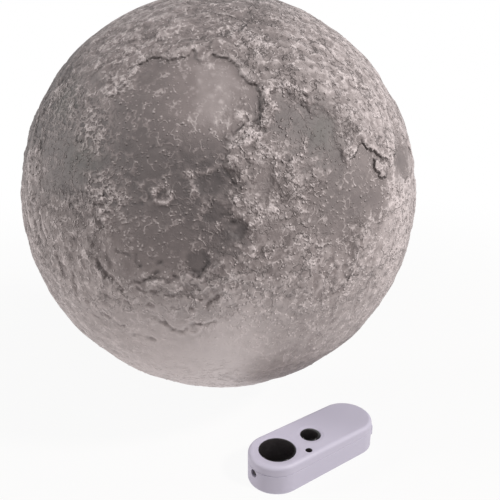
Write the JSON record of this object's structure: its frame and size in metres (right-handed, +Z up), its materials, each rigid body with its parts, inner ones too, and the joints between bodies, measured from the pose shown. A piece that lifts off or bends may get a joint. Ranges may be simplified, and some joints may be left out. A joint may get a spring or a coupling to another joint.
{
  "type": "wall moon lamp with remote control",
  "caption": "Wall-hung lamp: a translucent half-sphere dome with the moon's relief over a baffled light column, and a flat remote control with round push buttons.",
  "frame": {"origin": "centre of the lamp's flat back, on the wall plane", "axes": "+Y into the wall, so the dome stands out along -Y; +Z up; +X to the right for someone who looks at the lamp"},
  "size_m": [0.254, 0.135, 0.279],
  "materials": {
    "dome_plastic": "relief-moulded translucent shell, printed grey",
    "cover_plastic": "moulded, fine satin",
    "baffle_plastic": "moulded, plain white",
    "circuit_board": "solder mask",
    "chip_resin": "moulded resin",
    "led_resin": "clear resin over phosphor",
    "cable_sleeve": "extruded",
    "contact_steel": "nickel-plated spring steel",
    "screw_steel": "zinc-plated",
    "cell_jacket": "printed sleeve on a steel can",
    "switch_plastic": "moulded black",
    "remote_casing": "moulded, satin",
    "button_plastic": "moulded, glossy black",
    "indicator_lens": "dark tinted window",
    "emitter_resin": "dark tinted resin"
  },
  "bodies": {
    "root": {"moon_dome": "dome_plastic", "rear_cover": "cover_plastic", "aa_cell_1": "cell_jacket", "aa_cell_2": "cell_jacket", "aa_cell_3": "cell_jacket", "aa_cell_4": "cell_jacket", "aa_spring_contacts": "contact_steel", "aa_plate_contacts": "contact_steel", "light_baffle": "baffle_plastic", "led_boards": "baffle_plastic", "leds": "led_resin", "main_board": "circuit_board", "board_chips": "chip_resin", "led_cable": "cable_sleeve", "receiver_board": "circuit_board", "ir_receiver": "chip_resin", "power_switch": "switch_plastic", "dome_screws": "screw_steel", "baffle_screws": "screw_steel", "board_screws": "screw_steel", "remote_top_cover": "remote_casing", "remote_bottom_shell": "remote_casing", "remote_indicator": "indicator_lens", "remote_key_switches": "contact_steel", "remote_board": "circuit_board", "remote_ir_led": "emitter_resin", "aaa_cell_1": "cell_jacket", "aaa_cell_2": "cell_jacket", "remote_spring_contacts": "contact_steel", "remote_plate_contacts": "contact_steel", "remote_screws": "screw_steel"},
    "battery_door": {"battery_door": "cover_plastic"},
    "power_switch_knob": {"power_switch_knob": "switch_plastic"},
    "remote_battery_door": {"remote_battery_door": "remote_casing"},
    "remote_big_button": {"remote_big_button": "button_plastic"},
    "remote_small_button": {"remote_small_button": "button_plastic"}
  },
  "joints": [
    {"name": "remote_big_button_press", "type": "slide", "parent": "root", "child": "remote_big_button", "axis": [0, 0, -1], "range_m": [0, 0.0008], "stiffness_N_per_m": 1500},
    {"name": "remote_small_button_press", "type": "slide", "parent": "root", "child": "remote_small_button", "axis": [0, 0, -1], "range_m": [0, 0.0008], "stiffness_N_per_m": 1500},
    {"name": "remote_door_slide", "type": "slide", "parent": "root", "child": "remote_battery_door", "axis": [0.8746, 0.4848, 0], "range_m": [0, 0.04]},
    {"name": "battery_door_hinge", "type": "hinge", "parent": "root", "child": "battery_door", "pos_m": [0, 0, -0.0131], "axis": [1, 0, 0], "range_deg": [0, 60]},
    {"name": "power_switch_slide", "type": "slide", "parent": "root", "child": "power_switch_knob", "axis": [1, 0, 0], "range_m": [-0.003, 0.003]}
  ]
}
